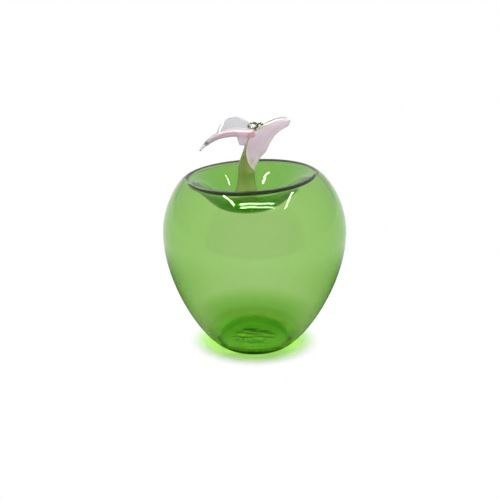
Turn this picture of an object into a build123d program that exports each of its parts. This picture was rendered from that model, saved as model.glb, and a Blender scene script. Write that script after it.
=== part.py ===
from build123d import *
import os
from math import cos, pi, radians, sin, sqrt

# A hand-blown glass apple, in millimetres. +Z is up and the origin is the middle of the base.

# bubble
body_diameter = 90.0
equator_height = 59.0
ridge_height = 87.6
ridge_radius = 30.6
base_radius = 17.0
wall = 2.7
base_thickness = 3.6
heel_angle = 24.5
heel_length = 11.6
flank_length = 24.6

# dimple
dimple_depth = 13.0
dimple_shift = -4.0
dimple_floor_radius = 8.2
dimple_wall = 3.6
ridge_shift = -1.5
ridge_tilt = 3.4
blow_hole_radius = 5.0

# kick under the base, with the punty scar
kick_radius = 10.0
kick_depth = 1.3
scar_radius = 6.0
scar_lift = 0.5

# stem, with a thread that curls into two loops at its end
foot_radius = 7.4
shoulder_height = 14.8
shoulder_radius = 4.0
neck_height = 25.0
neck_radius = 1.1
neck_lean = 2.6
stem_height = 36.7
crook = 5.2
loop_radius = 2.1
small_loop_radius = 1.2
thread_radius = 0.6
loop_angle = 30.0
small_loop_angle = 75.0
plug_drop = 0.6

# left leaf
left_length = 24.6
left_droop = 8.7
left_sweep = 2.5
left_front = 3.0
rib_radius = 2.0
knot_radius = 2.2
blade_width = 8.6
blade_angle = 50.0
blade_thickness = 1.5
lobe_width = 6.0
lobe_angle = 65.0

# right leaf
right_reach = 17.2
right_rise = 23.1
right_width = 5.4
right_thickness = 1.1
right_front = 2.4
right_lean = 2.6


def bezier(p0, p1, p2, p3, t):
    s = 1.0 - t
    k = (s * s * s, 3.0 * s * s * t, 3.0 * s * t * t, t * t * t)
    return tuple(k[0] * a + k[1] * b + k[2] * c + k[3] * d for a, b, c, d in zip(p0, p1, p2, p3))


def heading(p0, p1, p2, p3, t):
    s = 1.0 - t
    k = (3.0 * s * s, 6.0 * s * t, 3.0 * t * t)
    d = [k[0] * (b - a) + k[1] * (c - b) + k[2] * (e - c) for a, b, c, e in zip(p0, p1, p2, p3)]
    size = sqrt(sum(x * x for x in d))
    return tuple(x / size for x in d)


def ease(t):
    return t * t * (3.0 - 2.0 * t)


body_radius = body_diameter / 2.0
floor_height = ridge_height - dimple_depth
crown_height = ridge_height - equator_height

# The bubble's outline, as three curves of radius and height: flank, crown and bowl.
flank = (
    (base_radius, 0.0),
    (base_radius + heel_length * cos(radians(heel_angle)), heel_length * sin(radians(heel_angle))),
    (body_radius, equator_height - flank_length),
    (body_radius, equator_height),
)
crown = (
    (body_radius, equator_height),
    (body_radius, equator_height + 0.486 * crown_height),
    (ridge_radius + 0.387 * (body_radius - ridge_radius), ridge_height),
    (ridge_radius, ridge_height),
)
bowl_run = ridge_radius - dimple_floor_radius
bowl = (
    (ridge_radius, ridge_height),
    (ridge_radius - 0.40 * bowl_run, ridge_height),
    (dimple_floor_radius + 0.42 * bowl_run, floor_height),
    (dimple_floor_radius, floor_height),
)


def ring(curve, t, inset, lean):
    # A circle on the outline, set into the glass by inset; lean is 0 on the flank and 1 on the ridge.
    r, z = bezier(*curve, t)
    dr, dz = heading(*curve, t)
    if curve is flank:
        shift, tilt = 0.0, 0.0
    elif curve is crown:
        shift, tilt = lean * ridge_shift, lean * ridge_tilt
    else:
        shift, tilt = ridge_shift + lean * (dimple_shift - ridge_shift), (1.0 - lean) * ridge_tilt
    a = radians(tilt)
    plane = Plane(origin=(shift, 0, z + inset * dr), x_dir=(cos(a), 0, sin(a)), z_dir=(-sin(a), 0, cos(a)))
    return plane * Circle(r - inset * dz)


def rings(curve, first, inset, last_inset):
    # Circles up a curve; the inset changes gently from its start to its end.
    made = []
    for n in range(first, 9):
        t = n / 8.0
        depth = inset + (last_inset - inset) * ease(t)
        made.append(ring(curve, t, depth, t**4 if curve is crown else ease(t)))
    return made


outer = loft(rings(flank, 0, 0.0, 0.0) + rings(crown, 1, 0.0, 0.0) + rings(bowl, 1, 0.0, 0.0))

# The hollow follows the outline one wall in, and stands on the base.
start_radius = bezier(*flank, 3 / 8.0)[0] - wall * heading(*flank, 3 / 8.0)[1]
start_height = bezier(*flank, 3 / 8.0)[1] + wall * heading(*flank, 3 / 8.0)[0]
inner_floor = 0.82 * base_radius
heel_inside = (
    (inner_floor, base_thickness),
    (inner_floor + 0.5 * (start_radius - inner_floor), base_thickness),
    (
        start_radius - 0.45 * (start_height - base_thickness) * heading(*flank, 3 / 8.0)[0],
        start_height - 0.45 * (start_height - base_thickness) * heading(*flank, 3 / 8.0)[1],
    ),
    (start_radius, start_height),
)
heel_rings = []
for n in range(4):
    r, z = bezier(*heel_inside, n / 4.0)
    heel_rings.append(Pos(0, 0, z) * Circle(r))
wall_rings = rings(flank, 3, wall, wall) + rings(crown, 1, wall, wall) + rings(bowl, 1, wall, dimple_wall)
hollow = loft(heel_rings + wall_rings)

kick_ball_radius = (kick_radius**2 + kick_depth**2) / (2.0 * kick_depth)
kick = Pos(0, 0, kick_depth - kick_ball_radius) * Rot(90, 0, 0) * Sphere(kick_ball_radius)
stem_at = Pos(dimple_shift, 0, floor_height)
blow_hole = stem_at * Pos(0, 0, -dimple_wall) * Cylinder(blow_hole_radius, 4.0 * dimple_wall)
body_shell = outer - hollow - kick - blow_hole

scar = Cylinder(scar_radius, kick_depth, align=(Align.CENTER, Align.CENTER, Align.MIN))
pontil_button = kick & (Pos(0, 0, scar_lift) * scar)

# The stem stands on the dimple floor: ellipses by height, offset, half width and half depth.
fin_height = shoulder_height + 0.33 * (neck_height - shoulder_height)
throat_height = shoulder_height + 0.72 * (neck_height - shoulder_height)
eye_height = neck_height + 0.755 * (stem_height - neck_height)
eye_offset = neck_lean
stem_stations = []
for k in (0.0, 0.15, 0.3, 0.5, 0.75, 1.0):
    flare = shoulder_radius + (foot_radius - shoulder_radius) * (1.0 - k) ** 2
    stem_stations.append((k * shoulder_height, 0.0, flare, flare))
stem_stations += [
    (fin_height, -0.25 * shoulder_radius, 0.69 * shoulder_radius, 0.75 * shoulder_radius),
    (throat_height, -0.30 * shoulder_radius, 1.15 * neck_radius, 1.4 * neck_radius),
    (neck_height, -0.15 * neck_lean, neck_radius, 1.15 * neck_radius),
    (eye_height, eye_offset, 1.05 * neck_radius, 1.1 * neck_radius),
    (stem_height, crook, 1.2 * thread_radius, 1.2 * thread_radius),
]
stem = stem_at * loft([Pos(x, 0, z) * Ellipse(a, b) for z, x, a, b in stem_stations])
plug_length = dimple_wall + plug_drop
stem += stem_at * Cylinder(blow_hole_radius, plug_length, align=(Align.CENTER, Align.CENTER, Align.MAX))


def curl(radius, angle, middle):
    # A loop of thread, tipped to the front by an angle and closed by a thin film.
    loop = Torus(radius, thread_radius) + Cylinder(radius, thread_radius)
    return stem_at * Pos(middle, 0, stem_height) * Rot(angle, 0, 0) * loop


stem += curl(loop_radius, loop_angle, crook - loop_radius)
stem += curl(small_loop_radius, small_loop_angle, crook + small_loop_radius)

# The left leaf is wound round the neck at the eye: a rib, a blade that rises and a lobe that hangs.
eye = (dimple_shift + eye_offset, 0.0, floor_height + eye_height)
rib_path = (
    (1.1 * rib_radius, -left_front, -0.2 * rib_radius),
    (-0.40 * left_length, -0.3 * left_sweep, 0.10 * left_droop),
    (-0.75 * left_length, -0.8 * left_sweep, 0.0),
    (-left_length, -left_sweep, -left_droop),
)


def across(path, t, up):
    # A plane square to a leaf's path, with its X axis as near to the direction up as it goes.
    z = Vector(*heading(*path, t))
    side = Vector(*up)
    x = side - z * side.dot(z)
    return Plane(origin=bezier(*path, t), x_dir=x, z_dir=z)


def rib_girth(t):
    knot = (knot_radius - rib_radius) * max(0.0, 1.0 - abs(t - 0.07) / 0.17) ** 2
    return (rib_radius + knot) * (1.0 - 0.75 * t**2.6) * (1.0 if t > 0.05 else 0.75)


rib_sections = []
for t in (0.0, 0.08, 0.2, 0.4, 0.6, 0.8, 0.92, 1.0):
    rib_sections.append(across(rib_path, t, (0, 0, 1)) * Ellipse(rib_girth(t), 1.06 * rib_girth(t)))
rib = loft(rib_sections)


def flap(t, angle, reach):
    # A thin cross-section that runs from the middle of the rib to the edge of a blade.
    plane = across(rib_path, t, (0, cos(radians(angle)), sin(radians(angle))))
    half = blade_thickness / 2.0
    return plane * Polygon((0, -half), (reach, -0.6 * half), (reach, 0.6 * half), (0, half), align=None)


def blade_reach(t):
    return rib_radius + (blade_width - rib_radius) * max(0.0, sin(pi * (t - 0.03) / 0.58)) ** 0.85


blade = loft([flap(t, blade_angle, blade_reach(t)) for t in (0.12, 0.18, 0.25, 0.33, 0.42, 0.51, 0.57, 0.6)])
lobe_steps = ((0.13, 1.0), (0.18, 1.0), (0.23, 0.85), (0.26, 0.6))
lobe = loft([flap(t, 180.0 + lobe_angle, lobe_width * k) for t, k in lobe_steps])
left_leaf = Pos(*eye) * (rib + blade + lobe) - stem

# The right leaf grows from a tail on the stem's shoulder and passes in front of the neck.
tail = (dimple_shift + 0.94 * shoulder_radius, 0.0, floor_height + shoulder_height + 0.2 * shoulder_radius)
right_path = (
    (0.0, -0.3 * right_front, 0.0),
    (-0.09 * right_reach, -1.3 * right_front, 0.40 * right_rise),
    (0.24 * right_reach, -0.9 * right_front, 0.94 * right_rise),
    (right_reach, right_lean, right_rise),
)

# Where the right leaf's cross-sections stand along its path, and their shares of its half width.
right_steps = ((0.0, 0.06), (0.12, 0.34), (0.25, 0.65), (0.36, 0.92), (0.46, 0.98), (0.58, 0.87), (0.72, 0.7))
right_steps += ((0.86, 0.56), (0.95, 0.42), (0.985, 0.25), (1.0, 0.08))
right_sections = []
for t, share in right_steps:
    half = share * right_width
    right_sections.append(across(right_path, t, (-1, 0, 1)) * Ellipse(half, min(right_thickness, 0.9 * half)))
right_leaf = Pos(*tail) * loft(right_sections) - stem - left_leaf

os.makedirs("parts", exist_ok=True)
export_step(body_shell, "parts/body_shell.step")
export_step(pontil_button, "parts/pontil_button.step")
export_step(stem, "parts/stem.step")
export_step(left_leaf, "parts/left_leaf.step")
export_step(right_leaf, "parts/right_leaf.step")
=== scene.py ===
from math import cos, exp, pi, radians, sin, sqrt

import bmesh
import bpy
from mathutils import Matrix, Vector, noise


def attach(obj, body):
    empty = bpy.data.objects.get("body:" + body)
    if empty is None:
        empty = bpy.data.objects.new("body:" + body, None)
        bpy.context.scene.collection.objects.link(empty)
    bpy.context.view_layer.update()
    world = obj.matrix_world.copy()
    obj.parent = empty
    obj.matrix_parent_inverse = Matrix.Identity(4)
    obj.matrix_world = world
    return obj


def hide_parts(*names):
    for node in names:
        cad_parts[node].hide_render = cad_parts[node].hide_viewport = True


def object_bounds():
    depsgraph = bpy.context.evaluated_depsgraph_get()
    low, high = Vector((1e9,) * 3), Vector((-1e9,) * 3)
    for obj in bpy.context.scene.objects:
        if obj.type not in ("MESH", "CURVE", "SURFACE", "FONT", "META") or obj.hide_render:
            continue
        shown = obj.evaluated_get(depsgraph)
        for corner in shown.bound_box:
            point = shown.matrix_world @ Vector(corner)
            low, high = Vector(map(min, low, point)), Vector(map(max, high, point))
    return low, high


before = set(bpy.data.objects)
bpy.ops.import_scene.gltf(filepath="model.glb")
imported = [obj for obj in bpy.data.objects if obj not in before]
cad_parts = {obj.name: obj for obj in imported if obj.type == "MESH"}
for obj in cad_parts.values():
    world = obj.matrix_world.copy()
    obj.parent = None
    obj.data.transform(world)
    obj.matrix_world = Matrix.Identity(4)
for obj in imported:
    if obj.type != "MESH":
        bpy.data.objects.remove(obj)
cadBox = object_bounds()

mm = 0.001


# curves and small sums

def bezier(path, t):
    s = 1.0 - t
    k = (s ** 3, 3 * s * s * t, 3 * s * t * t, t ** 3)
    return [sum(k[i] * path[i][axis] for i in range(4)) for axis in range(len(path[0]))]


def heading(path, t):
    s = 1.0 - t
    k = (s * s, 2 * s * t, t * t)
    return Vector([sum(k[i] * (path[i + 1][axis] - path[i][axis]) for i in range(3))
                   for axis in range(len(path[0]))]).normalized()


def ease(t):
    t = min(1.0, max(0.0, t))
    return t * t * (3 - 2 * t)


def smoothRun(stations, count):
    # an even run of stations through a given list, rounded between them
    last = len(stations) - 1
    run = []
    for n in range(count + 1):
        at = last * n / count
        i = min(int(at), last - 1)
        t = at - i
        p = [stations[min(max(i + k, 0), last)] for k in (-1, 0, 1, 2)]
        run.append([0.5 * (2 * b + (c - a) * t + (2 * a - 5 * b + 4 * c - d) * t * t
                           + (3 * b - a - 3 * c + d) * t ** 3) for a, b, c, d in zip(*p)])
    return run


# glass

def node(tree, kind, at, **sockets):
    made = tree.nodes.new(kind)
    made.location = at
    for name, value in sockets.items():
        made.inputs[name].default_value = value
    return made


def emptyTree(owner):
    owner.use_nodes = True
    owner.node_tree.nodes.clear()
    return owner.node_tree


def maths(tree, kind, at, a, b, clamp=False):
    made = node(tree, "ShaderNodeMath", at)
    made.operation = kind
    made.use_clamp = clamp
    for socket, value in zip(made.inputs, (a, b)):
        if isinstance(value, (int, float)):
            socket.default_value = value
        else:
            tree.links.new(value, socket)
    return made.outputs[0]


def fade(tree, at, value, low, high, most=1.0):
    # nothing at low, the most at high, and soft between them
    made = node(tree, "ShaderNodeMapRange", at)
    made.interpolation_type = "SMOOTHSTEP"
    made.inputs["From Min"].default_value = low
    made.inputs["From Max"].default_value = high
    made.inputs["To Max"].default_value = most
    tree.links.new(value, made.inputs["Value"])
    return made.outputs["Result"]


def makeGlass(name, look):
    mat = bpy.data.materials.new(name)
    tree = emptyTree(mat)
    link = tree.links.new
    out = node(tree, "ShaderNodeOutputMaterial", (900, 0))
    glass = node(tree, "ShaderNodeBsdfPrincipled", (300, 0))
    glass.inputs["Transmission Weight"].default_value = look["clear"]
    glass.inputs["IOR"].default_value = look["ior"]
    glass.inputs["Specular IOR Level"].default_value = look["shine"]
    glass.inputs["Specular Tint"].default_value = (*look["sheenTint"], 1)
    where = node(tree, "ShaderNodeTexCoord", (-900, 0))

    # cords: faint drawn-out streaks of lighter and darker glass
    stretch = node(tree, "ShaderNodeMapping", (-700, 150))
    stretch.inputs["Scale"].default_value = look["cordScale"]
    cords = node(tree, "ShaderNodeTexNoise", (-500, 150), Scale=1.0, Detail=3.0, Roughness=0.55,
                 Distortion=0.6)
    cordTint = node(tree, "ShaderNodeValToRGB", (-250, 150))
    cordTint.color_ramp.elements[0].position = 0.35
    cordTint.color_ramp.elements[0].color = (*look["cordDark"], 1)
    cordTint.color_ramp.elements[1].position = 0.7
    cordTint.color_ramp.elements[1].color = (*look["cordPale"], 1)
    link(where.outputs[look["cordsOn"]], stretch.inputs["Vector"])
    link(stretch.outputs["Vector"], cords.inputs["Vector"])
    link(cords.outputs["Fac"], cordTint.inputs["Fac"])

    # veils: parts of the piece that are of another shade
    shade = cordTint.outputs["Color"]
    for n, (coordinate, axis, low, high, tone) in enumerate(look["veils"]):
        height = 400 + 200 * n
        split = node(tree, "ShaderNodeSeparateXYZ", (-700, height))
        veil = node(tree, "ShaderNodeMixRGB", (100 * n - 200, height), Color2=(*tone, 1))
        link(where.outputs[coordinate], split.inputs[0])
        link(fade(tree, (-500, height), split.outputs[axis], low, high), veil.inputs["Fac"])
        link(shade, veil.inputs["Color1"])
        shade = veil.outputs["Color"]
    link(shade, glass.inputs["Base Color"])

    # fire polish: nearly smooth, a little softer in patches
    polish = node(tree, "ShaderNodeTexNoise", (-500, -150), Scale=look["polishScale"], Detail=2.0)
    polishRange = node(tree, "ShaderNodeMapRange", (-250, -150))
    polishRange.inputs["To Max"].default_value = look["polishMost"]
    link(where.outputs["Object"], polish.inputs["Vector"])
    link(polish.outputs["Fac"], polishRange.inputs["Value"])
    link(polishRange.outputs["Result"], glass.inputs["Roughness"])

    # lamps reach through the glass
    path = node(tree, "ShaderNodeLightPath", (300, 400))
    clear = node(tree, "ShaderNodeBsdfTransparent", (300, -400), Color=(*look["castTint"], 1))
    mix = node(tree, "ShaderNodeMixShader", (650, 100))
    link(path.outputs["Is Shadow Ray"], mix.inputs["Fac"])
    link(glass.outputs["BSDF"], mix.inputs[1])
    link(clear.outputs["BSDF"], mix.inputs[2])
    link(mix.outputs["Shader"], out.inputs["Surface"])
    tint = node(tree, "ShaderNodeVolumeAbsorption", (650, -200), Color=(*look["tint"], 1),
                Density=look["density"])
    link(tint.outputs["Volume"], out.inputs["Volume"])
    return mat


# each veil: the coordinate and its axis, where it starts, where it is full, and its tone
green = {
    "ior": 1.5, "tint": (0.46, 0.74, 0.12), "density": 365.0, "clear": 1.0,
    "sheenTint": (0.4, 0.8, 0.25), "shine": 0.28, "castTint": (0.81, 0.88, 0.2),
    "cordsOn": "Object", "cordScale": (60, 60, 22),
    "cordDark": (0.975, 0.985, 0.97), "cordPale": (1, 1, 1),
    "polishScale": 40.0, "polishMost": 0.012}
# the bubble: painted shade as deeper green inside the bowl, a darker, more olive heel and a darker,
# yellower underside, and a dark ring of painted shade round the floor
greenGlass = makeGlass("greenGlass", {
    # painted shade: darker, deeper green over the inner side of the bowl, from the blow hole out to near
    # the ridge
    **green, "veils": (("UV", "X", 0.484, 0.492, (0.5, 0.75, 0.42)), ("UV", "X", 0.6, 0.63, (1, 1, 1)),
                       # painted shade: darker, more olive glass below about 7 mm
                       ("Object", "Z", 0.0078, 0.006, (0.74, 0.79, 0.42)),
                       # painted shade: darker, yellower glass over the underside, below about 2 mm
                       ("Object", "Z", 0.003, 0.0016, (0.88, 0.68, 0.5)),
                       # painted shade: a dark ring round the inner floor, where the map marks it
                       ("UV", "Y", 0.1, 0.9, (0.3, 0.38, 0.06)))})
puntyGlass = makeGlass("puntyGlass", {**green, "veils": ()})
# the stem: a paler foot and dark loops
oliveGlass = makeGlass("oliveGlass", {
    "ior": 1.5, "tint": (0.62, 0.55, 0.15), "density": 120.0, "clear": 0.6,
    "sheenTint": (1, 1, 1), "shine": 0.5, "castTint": (0.8, 0.85, 0.6),
    "cordsOn": "Object", "cordScale": (160, 160, 40),
    "cordDark": (0.36, 0.47, 0.13), "cordPale": (0.48, 0.58, 0.22),
    "polishScale": 90.0, "polishMost": 0.02,
    "veils": (("Object", "Z", 0.089, 0.081, (0.58, 0.68, 0.28)),
              ("Object", "Z", 0.107, 0.1105, (0.11, 0.15, 0.05)))})
pink = {
    "ior": 1.5, "tint": (0.69, 0.10, 0.40), "density": 110.0, "clear": 0.5,
    "sheenTint": (1, 1, 1), "shine": 0.5, "castTint": (0.9, 0.84, 0.88),
    "cordsOn": "UV", "cordScale": (2.5, 24, 1),
    "cordDark": (0.76, 0.69, 0.74), "cordPale": (0.86, 0.83, 0.87),
    "polishScale": 90.0, "polishMost": 0.02}
# the left leaf: a grey blade and lobe, a pink end at the neck, a dark knot before the clear tip
bladeGlass = makeGlass("bladeGlass", {
    **pink, "cordScale": (3, 60, 1), "cordDark": (0.74, 0.52, 0.61), "cordPale": (0.98, 0.85, 0.92),
    "veils": (("UV", "Y", 0.56, 0.68, (0.56, 0.59, 0.59)), ("UV", "Y", 0.36, 0.28, (0.62, 0.58, 0.61)),
              ("UV", "X", 0.1, 0.04, (0.9, 0.66, 0.76)), ("UV", "X", 0.79, 0.83, (0.28, 0.26, 0.26)),
              ("UV", "X", 0.85, 0.89, (0.84, 0.84, 0.84)))})
# the right leaf: a pale tail that is a painted highlight, and darker olive along its upper edge
paddleGlass = makeGlass("paddleGlass", {
    # painted highlight: the tail paler towards its end
    **pink, "veils": (("UV", "X", 0.38, 0.12, (0.98, 0.93, 0.98)),
                      ("UV", "Y", 0.9, 0.96, (0.3, 0.36, 0.16)))})
print("glass mixed")


def finishPiece(name, bm, material, cadNode):
    bmesh.ops.remove_doubles(bm, verts=bm.verts, dist=2e-6)
    bmesh.ops.recalc_face_normals(bm, faces=bm.faces)
    for face in bm.faces:
        face.smooth = True
    mesh = bpy.data.meshes.new(name)
    bm.to_mesh(mesh)
    bm.free()
    mesh.materials.append(material)
    piece = bpy.data.objects.new(name, mesh)
    bpy.context.scene.collection.objects.link(piece)
    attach(piece, "root")
    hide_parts(cadNode)
    print(name, len(mesh.polygons), "faces")
    return piece


# the blown bubble: one profile from the kick, up the outside, through the blow hole and down the inside

bubble = {
    "radius": 45.0, "equator": 59.0, "ridgeHeight": 87.6, "ridgeRadius": 30.6, "baseRadius": 17.0,
    "wall": 2.7, "heelWall": 1.9, "bowlWall": 3.6, "baseThickness": 3.6,
    "heelAngle": 24.5, "heelLength": 11.6, "flankLength": 24.6,
    "floorEdge": 19.3, "lump": 5.5, "lumpTop": 19.0, "lumpFade": 10.5,
    "shadeRing": 17.4, "shadeRingRise": 3.8, "shadeRingWidth": 2.2,
    "dimpleDepth": 13.0, "dimpleShift": -4.0, "floorRadius": 8.2, "ridgeShift": -1.5, "ridgeTilt": 3.4,
    "holeRadius": 5.0, "kickRadius": 13.0, "kickDepth": 0.6, "ripple": 0.35, "turns": 208}
floorHeight = bubble["ridgeHeight"] - bubble["dimpleDepth"]


def bubbleCurves():
    b = bubble
    crownRise = b["ridgeHeight"] - b["equator"]
    crownRun = b["radius"] - b["ridgeRadius"]
    bowlRun = b["ridgeRadius"] - b["floorRadius"]
    heel = radians(b["heelAngle"])
    flank = ((b["baseRadius"], 0),
             (b["baseRadius"] + b["heelLength"] * cos(heel), b["heelLength"] * sin(heel)),
             (b["radius"], b["equator"] - b["flankLength"]), (b["radius"], b["equator"]))
    crown = ((b["radius"], b["equator"]), (b["radius"], b["equator"] + 0.486 * crownRise),
             (b["ridgeRadius"] + 0.387 * crownRun, b["ridgeHeight"]), (b["ridgeRadius"], b["ridgeHeight"]))
    bowl = ((b["ridgeRadius"], b["ridgeHeight"]), (b["ridgeRadius"] - 0.40 * bowlRun, b["ridgeHeight"]),
            (b["floorRadius"] + 0.42 * bowlRun, floorHeight), (b["floorRadius"], floorHeight))
    return flank, crown, bowl


def bubbleProfile():
    # points of radius, height, sideways shift, tilt and a share of the lump inside the heel
    b = bubble
    flank, crown, bowl = bubbleCurves()

    def skin(inset, flankFrom):
        run = []
        for n in range(flankFrom, 41):
            run.append((flank, n / 40, 0.0, 0.0))
        for n in range(1, 41):
            lean = (n / 40) ** 4
            run.append((crown, n / 40, lean * b["ridgeShift"], lean * b["ridgeTilt"]))
        for n in range(1, 45):
            lean = ease(n / 44)
            run.append((bowl, n / 44, b["ridgeShift"] + lean * (b["dimpleShift"] - b["ridgeShift"]),
                        (1 - lean) * b["ridgeTilt"]))
        points = []
        for curve, t, shift, tilt in run:
            r, z = bezier(curve, t)
            dr, dz = heading(curve, t)
            depth = inset
            if inset and curve is bowl:
                depth += (b["bowlWall"] - inset) * ease(t)
            if inset and curve is flank:
                depth += (b["heelWall"] - inset) * ease((0.62 - t) / 0.5)
            points.append((r - depth * dz, z + depth * dr, shift, tilt))
        return points

    points = []
    for n in range(27):
        points.append((b["kickRadius"] * n / 26, 0, 0, 0, 0))
    for n in range(1, 5):
        points.append((b["kickRadius"] + (b["baseRadius"] - b["kickRadius"]) * n / 5, 0, 0, 0, 0))
    points += [(*point, 0) for point in skin(0.0, 0)]
    points.append((b["holeRadius"] + 1.2, floorHeight, b["dimpleShift"], 0, 0))
    for n in range(7):
        points.append((b["holeRadius"], floorHeight - b["bowlWall"] * n / 6, b["dimpleShift"], 0, 0))
    # inside, the wall turns sharply into the floor, and a lump of glass lies at the back
    inside = skin(b["wall"], 8)
    base, edge = b["baseThickness"], b["floorEdge"]
    slope = (inside[0][1] - base) / (inside[0][0] - edge)
    turn = [inside[1][:2], inside[0][:2], (edge + 1.2, base + 1.2 * slope),
            (edge + 0.3, base + 0.42 * slope), (edge - 0.6, base + 0.04),
            (edge - 2, base), (edge - 4, base)]
    inside = [(r, z, 0, 0) for r, z in smoothRun(turn, 48)[:8:-1]] + inside
    for n in range(14):
        inside.insert(0, ((edge - 4) * (13 - n) / 14, base, 0, 0))
    for r, z, shift, tilt in inside[::-1]:
        points.append((r, z, shift, tilt, ease((b["lumpTop"] - z) / b["lumpFade"])))
    return points


def kickHeight(x, y):
    # the kick is a shallow hollow with ripples left by the punty
    share = max(0.0, 1 - (x * x + y * y) / bubble["kickRadius"] ** 2)
    ripple = noise.noise(Vector((0.16 * x + 0.1 * y + 4, 0.42 * y, 2)))
    return max(0.0, share * bubble["kickDepth"] + sqrt(share) * bubble["ripple"] * ripple)


def makeBubble():
    bm = bmesh.new()
    shiftOf = bm.verts.layers.float.new("shift")
    tiltOf = bm.verts.layers.float.new("tilt")
    lumpOf = bm.verts.layers.float.new("lump")
    alongOf = bm.verts.layers.float.new("along")
    shadeRingOf = bm.verts.layers.float.new("shadeRing")
    profile = bubbleProfile()
    verts = []
    for n, (r, z, shift, tilt, lump) in enumerate(profile):
        v = bm.verts.new((r, 0, z))
        v[shiftOf] = shift
        v[tiltOf] = radians(tilt)
        v[lumpOf] = lump
        v[alongOf] = n / (len(profile) - 1)
        verts.append(v)
    for a, b in zip(verts, verts[1:]):
        bm.edges.new((a, b))
    bmesh.ops.spin(bm, geom=bm.verts[:] + bm.edges[:], cent=(0, 0, 0), axis=(0, 0, 1), angle=2 * pi,
                   steps=bubble["turns"], use_merge=True)
    for v in bm.verts:
        x, y, z = v.co
        r = sqrt(x * x + y * y)
        if z < 0.01 and r < bubble["kickRadius"]:
            z = kickHeight(x, y)
        back = ease((y / (r + 0.01) + 0.25) / 1.1)  # none at the front, all at the back
        lump = bubble["lump"] * v[lumpOf] * back
        # a ring of painted shade round the inner floor, further out at the back
        shadeRingRadius = bubble["shadeRing"] + bubble["shadeRingRise"] * back
        v[shadeRingOf] = v[lumpOf] * ease(1 - abs(r - shadeRingRadius) / bubble["shadeRingWidth"])
        inward = 1 - lump * min(1, r / bubble["floorEdge"]) ** 2 / (r + 0.01)
        v.co = (v[shiftOf] + inward * x * cos(v[tiltOf]), inward * y, z + x * sin(v[tiltOf]))
    # the map runs along the profile one way, and marks the ring of painted shade the other way
    skinMap = bm.loops.layers.uv.new("skin")
    for face in bm.faces:
        for corner in face.loops:
            corner[skinMap].uv = (corner.vert[alongOf], corner.vert[shadeRingOf])
    bmesh.ops.scale(bm, vec=(mm, mm, mm), verts=bm.verts)
    return finishPiece("appleBubble", bm, greenGlass, "body_shell")


makeBubble()


# tubes of glass: rings drawn along a run

def drawTube(bm, rings, segments):
    # rings: centre, half width and half depth; each new ring is drawn out of the one before
    across = bm.verts.layers.float.get("across") or bm.verts.layers.float.new("across")
    along = bm.verts.layers.float.get("along") or bm.verts.layers.float.new("along")
    ring = bmesh.ops.create_circle(bm, segments=segments, radius=1.0, cap_ends=False)["verts"]
    edges = list({e for v in ring for e in v.link_edges})
    for v in ring:
        v[across], v[along] = v.co.x, v.co.y
    for n, (centre, wide, deep) in enumerate(rings):
        if n:
            made = bmesh.ops.extrude_edge_only(bm, edges=edges)["geom"]
            ring = [g for g in made if isinstance(g, bmesh.types.BMVert)]
            fresh = set(ring)
            edges = [g for g in made if isinstance(g, bmesh.types.BMEdge) and fresh.issuperset(g.verts)]
        for v in ring:
            v.co = Vector(centre) + v[across] * Vector(wide) + v[along] * Vector(deep)


# the stem: a plug in the blow hole, a flared foot, a fin, a thin neck and a thread curled into two loops

stem = {
    "footRadius": 7.4, "shoulderHeight": 14.8, "shoulderRadius": 4.0, "neckHeight": 25.0, "neckRadius": 1.1,
    "neckLean": 2.6, "height": 36.7, "crook": 5.2, "loop": 2.1, "smallLoop": 1.2, "thread": 0.6,
    "loopAngle": 30.0, "smallLoopAngle": 75.0, "plugDrop": 0.6, "plugRound": 1.0, "seam": 0.04}
eyeHeight = stem["neckHeight"] + 0.755 * (stem["height"] - stem["neckHeight"])  # where the leaves cross


def stemRings():
    s = stem
    plug = bubble["holeRadius"] - s["seam"]
    low = -bubble["bowlWall"] - s["plugDrop"]
    wall = low + s["plugRound"]
    fin = s["shoulderHeight"] + 0.33 * (s["neckHeight"] - s["shoulderHeight"])
    throat = s["shoulderHeight"] + 0.72 * (s["neckHeight"] - s["shoulderHeight"])
    tip = 1.2 * s["thread"]
    stations = []
    for n in range(9):  # the drop under the plug
        a = 0.5 * pi * n / 8
        stations.append((low + s["plugRound"] * (1 - cos(a)), 0, plug * sin(a), plug * sin(a)))
    for n in range(1, 6):
        stations.append((wall + (s["seam"] - wall) * n / 5, 0, plug, plug))
    for n in range(1, 5):
        r = plug + (s["footRadius"] - plug) * n / 4
        stations.append((s["seam"], 0, r, r))
    body = []
    for k in (0.02, 0.08, 0.15, 0.3, 0.5, 0.75, 0.92):
        flare = s["shoulderRadius"] + (s["footRadius"] - s["shoulderRadius"]) * (1 - k) ** 2
        body.append((k * s["shoulderHeight"], 0, flare, flare))
    body += [(s["shoulderHeight"], 0, s["shoulderRadius"], 0.98 * s["shoulderRadius"]),
             (fin, -0.25 * s["shoulderRadius"], 0.69 * s["shoulderRadius"], 0.75 * s["shoulderRadius"]),
             (throat, -0.3 * s["shoulderRadius"], 1.15 * s["neckRadius"], 1.4 * s["neckRadius"]),
             (s["neckHeight"], -0.15 * s["neckLean"], s["neckRadius"], 1.15 * s["neckRadius"]),
             (eyeHeight, s["neckLean"], 1.05 * s["neckRadius"], 1.1 * s["neckRadius"]),
             (s["height"], s["crook"], tip, tip)]
    stations += smoothRun(body, 84)
    for n in range(1, 7):  # the neck's round end
        a = 0.5 * pi * n / 6
        stations.append((s["height"] + 0.6 * tip * sin(a), s["crook"], tip * cos(a), tip * cos(a)))
    return [((bubble["dimpleShift"] + x, 0, floorHeight + z), (wide, 0, 0), (0, deep, 0))
            for z, x, wide, deep in stations]


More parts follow.
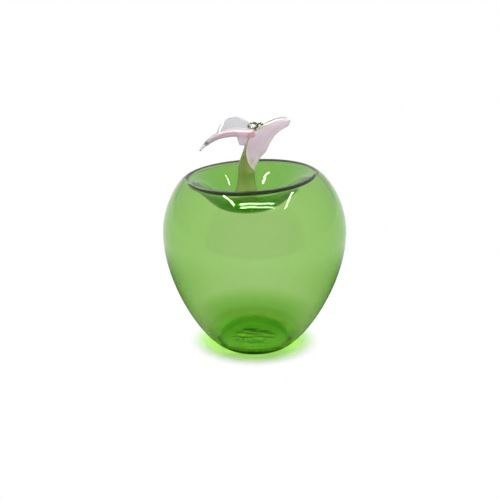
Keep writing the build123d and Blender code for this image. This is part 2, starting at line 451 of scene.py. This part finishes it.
def loopRings(radius, angle, middle):
    # a loop of thread, tipped to the front, a little uneven
    tip = Matrix.Rotation(radians(angle), 3, "X")
    rings = []
    for n in range(57):
        a = 2 * pi * n / 56
        out = tip @ Vector((cos(a), sin(a), 0))
        thread = stem["thread"] * (1 + 0.18 * sin(2 * a + 0.6))
        centre = Vector((bubble["dimpleShift"] + middle, 0, floorHeight + stem["height"])) + radius * out
        rings.append((centre, thread * out, tip @ Vector((0, 0, thread))))
    return rings


def makeStem():
    bm = bmesh.new()
    drawTube(bm, stemRings(), 56)
    middle, smallMiddle = stem["crook"] - stem["loop"], stem["crook"] + stem["smallLoop"]
    drawTube(bm, loopRings(stem["loop"], stem["loopAngle"], middle), 16)
    drawTube(bm, loopRings(stem["smallLoop"], stem["smallLoopAngle"], smallMiddle), 16)
    bmesh.ops.scale(bm, vec=(mm, mm, mm), verts=bm.verts)
    return finishPiece("stemFin", bm, oliveGlass, "stem")


makeStem()


# leaves: a flat sheet is laid along a path, then thickened by its own rule

def pressLeaf(rows, columns, place):
    # place(u, v) gives a point of the leaf's middle sheet, its normal and the half thickness there
    bm = bmesh.new()
    bmesh.ops.create_grid(bm, x_segments=rows, y_segments=columns, size=1.0)
    leafMap = bm.loops.layers.uv.new("leafMap")
    for face in bm.faces:
        for corner in face.loops:
            corner[leafMap].uv = (0.5 + 0.5 * corner.vert.co.x, 0.5 + 0.5 * corner.vert.co.y)
    spot = {}
    for v in bm.verts:
        spot[v] = place(0.5 + 0.5 * v.co.x, v.co.y)
    made = bmesh.ops.extrude_face_region(bm, geom=bm.faces[:], use_keep_orig=True)["geom"]
    fresh = [g for g in made if isinstance(g, bmesh.types.BMVert)]
    for v in fresh:
        point, normal, half = place(0.5 + 0.5 * v.co.x, v.co.y)
        v.co = point + normal * half
    for v, (point, normal, half) in spot.items():
        v.co = point - normal * half
    return bm


eye = Vector((bubble["dimpleShift"] + stem["neckLean"], 0, floorHeight + eyeHeight))

leftLeaf = {
    "length": 24.6, "droop": 8.7, "sweep": 2.5, "front": 3.0, "rib": 2.0, "knot": 2.2,
    "blade": 8.6, "rise": 50.0, "thickness": 1.5, "lobe": 6.0, "fall": 65.0}


def leftPlace(u, v):
    d = leftLeaf
    path = ((1.1 * d["rib"], -d["front"], -0.2 * d["rib"]),
            (-0.40 * d["length"], -0.3 * d["sweep"], 0.10 * d["droop"]),
            (-0.75 * d["length"], -0.8 * d["sweep"], 0), (-d["length"], -d["sweep"], -d["droop"]))
    mid = Vector(bezier(path, u))
    along = heading(path, u)
    knot = (d["knot"] - d["rib"]) * exp(-((u - 0.08) / 0.09) ** 2)
    rib = (d["rib"] + knot) * (1 - 0.75 * u ** 2.6) * sqrt(ease(u / 0.05 + 0.02))
    rib *= sqrt(max(0.0, 1 - u ** 24))
    blade = (d["blade"] - d["rib"]) * max(0.0, sin(pi * min(1, max(0, (u - 0.03) / 0.58)))) ** 0.85
    lobe = (d["lobe"] - d["rib"]) * ease((u - 0.09) / 0.05) * ease((0.29 - u) / 0.06)
    far = rib + blade
    near = rib + lobe
    angle = radians(d["rise"])
    side = Vector((0, cos(angle), sin(angle)))
    side = (side - along * side.dot(along)).normalized()
    if v < 0:
        angle = radians(d["fall"])
        low = Vector((0, cos(angle), sin(angle)))
        low = (low - along * low.dot(along)).normalized()
        mixed = ease(-v * near / (1.5 * rib + 0.01))
        side = (side * (1 - mixed) + low * mixed).normalized()
    reach = v * (far if v > 0 else near)
    normal = along.cross(side).normalized()
    edge = sqrt(max(0.0, 1 - abs(v) ** 6))
    swell = rib * sqrt(max(0.0, 1 - (reach / (rib * 1.02)) ** 2)) if abs(reach) < rib * 1.02 else 0
    web = 0.5 * d["thickness"] * (1 - 0.3 * abs(v))
    half = max(swell, web * edge) if abs(v) < 0.999 else 0.0
    return eye + mid + side * reach, normal, half


def makeLeftLeaf():
    bm = pressLeaf(110, 64, leftPlace)
    bmesh.ops.scale(bm, vec=(mm, mm, mm), verts=bm.verts)
    return finishPiece("leftLeaf", bm, bladeGlass, "left_leaf")


makeLeftLeaf()

rightLeaf = {
    "reach": 17.2, "rise": 23.1, "width": 5.4, "thickness": 1.1, "lean": 2.6, "front": 2.4,
    "steps": ((0, 0.06), (0.12, 0.42), (0.25, 0.71), (0.36, 0.95), (0.46, 0.99), (0.58, 0.88),
              (0.72, 0.7), (0.86, 0.56), (0.95, 0.42), (0.985, 0.25), (1, 0.0))}
rightRun = smoothRun(rightLeaf["steps"], 200)


def rightWidth(u):
    # the half width at a place along the path
    for (a, low), (b, high) in zip(rightRun, rightRun[1:]):
        if u <= b:
            return rightLeaf["width"] * (low + (high - low) * (u - a) / (b - a))
    return 0.0


def rightPlace(u, v):
    d = rightLeaf
    path = ((0, -0.3 * d["front"], 0), (-0.19 * d["reach"], -1.3 * d["front"], 0.40 * d["rise"]),
            (0.24 * d["reach"], -0.9 * d["front"], 0.94 * d["rise"]), (d["reach"], d["lean"], d["rise"]))
    tail = Vector((bubble["dimpleShift"] + 0.94 * stem["shoulderRadius"], 0,
                   floorHeight + stem["shoulderHeight"] + 0.2 * stem["shoulderRadius"]))
    along = heading(path, u)
    wide = rightWidth(u)
    side = Vector((-1, 0, 1))
    side = (side - along * side.dot(along)).normalized()
    half = min(d["thickness"], 0.9 * wide) * sqrt(max(0.0, 1 - v * v))
    return tail + Vector(bezier(path, u)) + side * wide * v, along.cross(side).normalized(), half


def makeRightLeaf():
    bm = pressLeaf(90, 48, rightPlace)
    bmesh.ops.scale(bm, vec=(mm, mm, mm), verts=bm.verts)
    return finishPiece("rightLeaf", bm, paddleGlass, "right_leaf")


makeRightLeaf()


# the punty scar inside the kick

scar = {"radius": 6.0, "lift": 0.12, "seam": 0.03, "thin": 0.03, "least": 0.06, "thinFrom": 3.0}


def makeScar():
    bm = bmesh.new()
    profile = [(scar["radius"] * n / 12, 0) for n in range(12)]
    profile += [(scar["radius"] * (1 - n / 12), 1) for n in range(13)]
    verts = [bm.verts.new((r, 0, z)) for r, z in profile]
    for a, b in zip(verts, verts[1:]):
        bm.edges.new((a, b))
    bmesh.ops.spin(bm, geom=bm.verts[:] + bm.edges[:], cent=(0, 0, 0), axis=(0, 0, 1), angle=2 * pi,
                   steps=72, use_merge=True)
    rim = scar["radius"] - scar["thinFrom"]
    for v in bm.verts:  # its upper face lies in the kick, its lower face is broken off uneven
        top = max(kickHeight(v.co.x, v.co.y) - scar["seam"], scar["least"])
        low = scar["lift"] * (1 + 0.2 * noise.noise(0.45 * v.co + Vector((3, 1, 0))))
        low += (top - scar["thin"] - low) * ease((v.co.xy.length - scar["thinFrom"]) / rim)
        v.co.z = top if v.co.z > 0.5 else min(low, top - scar["thin"])
    bmesh.ops.scale(bm, vec=(mm, mm, mm), verts=bm.verts)
    return finishPiece("puntyScar", bm, puntyGlass, "pontil_button")


makeScar()


# stage: pale floor, white surroundings with a dim front, four strip lamps and two soft lamps

floorLook = {
    "half": 4.0, "front": 0.26, "drop": 0.0001, "paint": (0.74, 0.74, 0.74, 1),
    "middle": (0, -0.002, 0), "stretch": (0.96, 1, 1), "glow": (0.021, 0.033),
    "shade": (0.18, 0.08), "shadeMost": 0.95}


def makeFloor():
    # painted where the apple's shadow and green glow fall, and plain white further out
    bm = bmesh.new()
    bmesh.ops.create_grid(bm, x_segments=1, y_segments=1, size=floorLook["half"])
    bmesh.ops.translate(bm, vec=(0, floorLook["half"] - floorLook["front"], 0), verts=bm.verts)
    mesh = bpy.data.meshes.new("paleFloor")
    bm.to_mesh(mesh)
    bm.free()
    mat = bpy.data.materials.new("paleFloor")
    tree = emptyTree(mat)
    link = tree.links.new
    out = node(tree, "ShaderNodeOutputMaterial", (600, 0))
    paint = node(tree, "ShaderNodeBsdfDiffuse", (0, 0), Color=floorLook["paint"])
    white = node(tree, "ShaderNodeEmission", (0, -200), Color=(1, 1, 1, 1), Strength=1.0)
    # black, for the painted dark reflection near the apple
    dark = node(tree, "ShaderNodeBsdfDiffuse", (300, -300), Color=(0, 0, 0, 1))
    where = node(tree, "ShaderNodeTexCoord", (-900, 200))
    middle = node(tree, "ShaderNodeMapping", (-800, 200), Location=floorLook["middle"],
                  Scale=floorLook["stretch"])
    away = node(tree, "ShaderNodeVectorMath", (-700, 200))
    away.operation = "LENGTH"
    link(where.outputs["Object"], middle.inputs["Vector"])
    link(middle.outputs["Vector"], away.inputs[0])
    path = node(tree, "ShaderNodeLightPath", (-700, -300))
    plain = maths(tree, "SUBTRACT", (-500, -300), 1.0, path.outputs["Diffuse Depth"], clamp=True)
    far = fade(tree, (-500, 200), away.outputs["Value"], *floorLook["glow"])
    mix = node(tree, "ShaderNodeMixShader", (300, 0))
    link(maths(tree, "MULTIPLY", (-200, 100), far, plain), mix.inputs["Fac"])
    link(paint.outputs[0], mix.inputs[1])
    link(white.outputs[0], mix.inputs[2])

    # painted dark reflection: mirrored in the glass, the floor near the apple shows black
    mirrored = maths(tree, "SUBTRACT", (-200, -400), path.outputs["Is Glossy Ray"],
                     path.outputs["Is Transmission Ray"], clamp=True)
    near = fade(tree, (-200, -600), away.outputs["Value"], *floorLook["shade"], floorLook["shadeMost"])
    seen = node(tree, "ShaderNodeMixShader", (450, 0))
    link(maths(tree, "MULTIPLY", (0, -400), mirrored, near), seen.inputs["Fac"])
    link(mix.outputs[0], seen.inputs[1])
    link(dark.outputs[0], seen.inputs[2])
    link(seen.outputs[0], out.inputs["Surface"])
    mesh.materials.append(mat)
    floor = bpy.data.objects.new("paleFloor", mesh)
    floor.location.z = cadBox[0][2] - floorLook["drop"]
    bpy.context.scene.collection.objects.link(floor)


makeFloor()

room = {
    "walls": 0.75, "dim": 0.1, "dimTint": (0.6, 1.25, 0.85, 1), "soft": 0.55, "softDim": 0.15,
    "openSide": 2.1, "openTop": 0.93, "sideBlur": 0.12, "topBlur": 0.03}


def makeWorld():
    # white on every side but the front, which is open and dim to about 68 degrees up
    world = bpy.data.worlds.new("whiteRoom")
    bpy.context.scene.world = world
    tree = emptyTree(world)
    link = tree.links.new
    out = node(tree, "ShaderNodeOutputWorld", (1200, 0))
    sky = node(tree, "ShaderNodeBackground", (1000, 0), Color=(1, 1, 1, 1))
    way = node(tree, "ShaderNodeTexCoord", (-900, 200))
    split = node(tree, "ShaderNodeSeparateXYZ", (-700, 200))
    link(way.outputs["Generated"], split.inputs[0])
    aside = maths(tree, "ABSOLUTE", (-500, 300), split.outputs["X"], 0)
    ahead = maths(tree, "MULTIPLY", (-500, 100), split.outputs["Y"], -room["openSide"])
    within = maths(tree, "SUBTRACT", (-300, 200), ahead, aside)
    inFront = fade(tree, (-100, 300), within, 0.0, room["sideBlur"])
    under = fade(tree, (-100, 50), split.outputs["Z"], room["openTop"] + room["topBlur"],
                 room["openTop"] - room["topBlur"])
    opening = maths(tree, "MULTIPLY", (100, 200), inFront, under)

    # what shows straight through the glass is white, and only its reflections show the room
    path = node(tree, "ShaderNodeLightPath", (-300, -400))
    bent = maths(tree, "MAXIMUM", (-100, -400), path.outputs["Is Glossy Ray"],
                 path.outputs["Is Transmission Ray"])
    bent = maths(tree, "SUBTRACT", (0, -400), bent, path.outputs["Diffuse Depth"])
    bent = maths(tree, "MAXIMUM", (50, -400), bent, 0)
    mirrored = maths(tree, "MINIMUM", (200, -400), bent, path.outputs["Glossy Depth"])
    straight = maths(tree, "SUBTRACT", (350, -400), bent, mirrored)
    white = maths(tree, "MAXIMUM", (500, -400), path.outputs["Is Camera Ray"], straight)

    def between(at, most, least):
        made = node(tree, "ShaderNodeMapRange", at)
        made.inputs["To Min"].default_value = most
        made.inputs["To Max"].default_value = least
        link(opening, made.inputs["Value"])
        return made.outputs["Result"]

    level = node(tree, "ShaderNodeMix", (500, -100))
    link(bent, level.inputs["Factor"])
    link(between((300, -200), room["soft"], room["softDim"]), level.inputs["A"])
    link(between((300, 100), room["walls"], room["dim"]), level.inputs["B"])
    shade = node(tree, "ShaderNodeMixRGB", (700, 300), Color1=(1, 1, 1, 1), Color2=room["dimTint"])
    link(maths(tree, "MULTIPLY", (500, 300), opening, mirrored), shade.inputs["Fac"])
    link(shade.outputs["Color"], sky.inputs["Color"])
    link(maths(tree, "MAXIMUM", (700, 0), level.outputs["Result"], white), sky.inputs["Strength"])
    link(sky.outputs[0], out.inputs["Surface"])


makeWorld()

lamps = {
    "frontStrip": {"at": (0.018, -0.192, 0.40), "size": (0.25, 0.018), "power": 3.2},
    "lowStrip": {"at": (0.02, -0.258, 0.40), "size": (0.27, 0.010), "power": 2.2},
    "leftStrip": {"at": (-0.158, -0.082, 0.40), "size": (0.015, 0.26), "power": 1.1},
    "rightStrip": {"at": (0.236, -0.10, 0.40), "size": (0.014, 0.31), "power": 1.2, "turn": 16.6},
    "topLamp": {"at": (0.0, 0.02, 0.55), "size": (0.35, 0.35), "power": 3.2},
    "frontFill": {"at": (0.0, -0.42, 0.2), "size": (0.3, 0.2), "power": 0.6, "aim": (0, 0, 0.1)}}


def addLamp(name, at, size, power, turn=0.0, aim=None):
    lamp = bpy.data.lights.new(name, "AREA")
    lamp.shape = "RECTANGLE"
    lamp.size, lamp.size_y = size
    lamp.energy = power
    holder = bpy.data.objects.new(name, lamp)
    holder.location = at
    holder.rotation_euler = (0, 0, radians(turn))
    if aim:
        holder.rotation_euler = (Vector(at) - Vector(aim)).to_track_quat("Z", "Y").to_euler()
    bpy.context.scene.collection.objects.link(holder)
    isStrip = name.endswith("Strip")  # strips show only as highlights on the glass
    holder.visible_diffuse = not isStrip
    holder.visible_glossy = isStrip
    holder.visible_transmission = False


for lampName, lampLook in lamps.items():
    addLamp(lampName, **lampLook)

view = {"distance": 0.450, "pitch": 19.5, "aim": (-0.002257, 0, 0.049), "focal": 907.0, "picture": 500,
        "sensor": 36.0}


def makeCamera():
    # the focal length and the picture are in pixels, the sensor in millimetres
    pitch = radians(view["pitch"])
    lens = bpy.data.cameras.new("photoCamera")
    lens.sensor_width = view["sensor"]
    lens.lens = view["sensor"] * view["focal"] / view["picture"]
    lens.clip_start = 0.01
    eyePoint = bpy.data.objects.new("photoCamera", lens)
    aim = Vector(view["aim"])
    eyePoint.location = aim - view["distance"] * Vector((0, cos(pitch), -sin(pitch)))
    eyePoint.rotation_euler = (0.5 * pi - pitch, 0, 0)
    bpy.context.scene.collection.objects.link(eyePoint)
    bpy.context.scene.camera = eyePoint


makeCamera()
scene = bpy.context.scene
scene.view_settings.view_transform = "Standard"
scene.cycles.max_bounces = 32
scene.cycles.transmission_bounces = 32
scene.cycles.glossy_bounces = 16
scene.cycles.transparent_max_bounces = 32
scene.cycles.caustics_reflective = False
print("stage set")
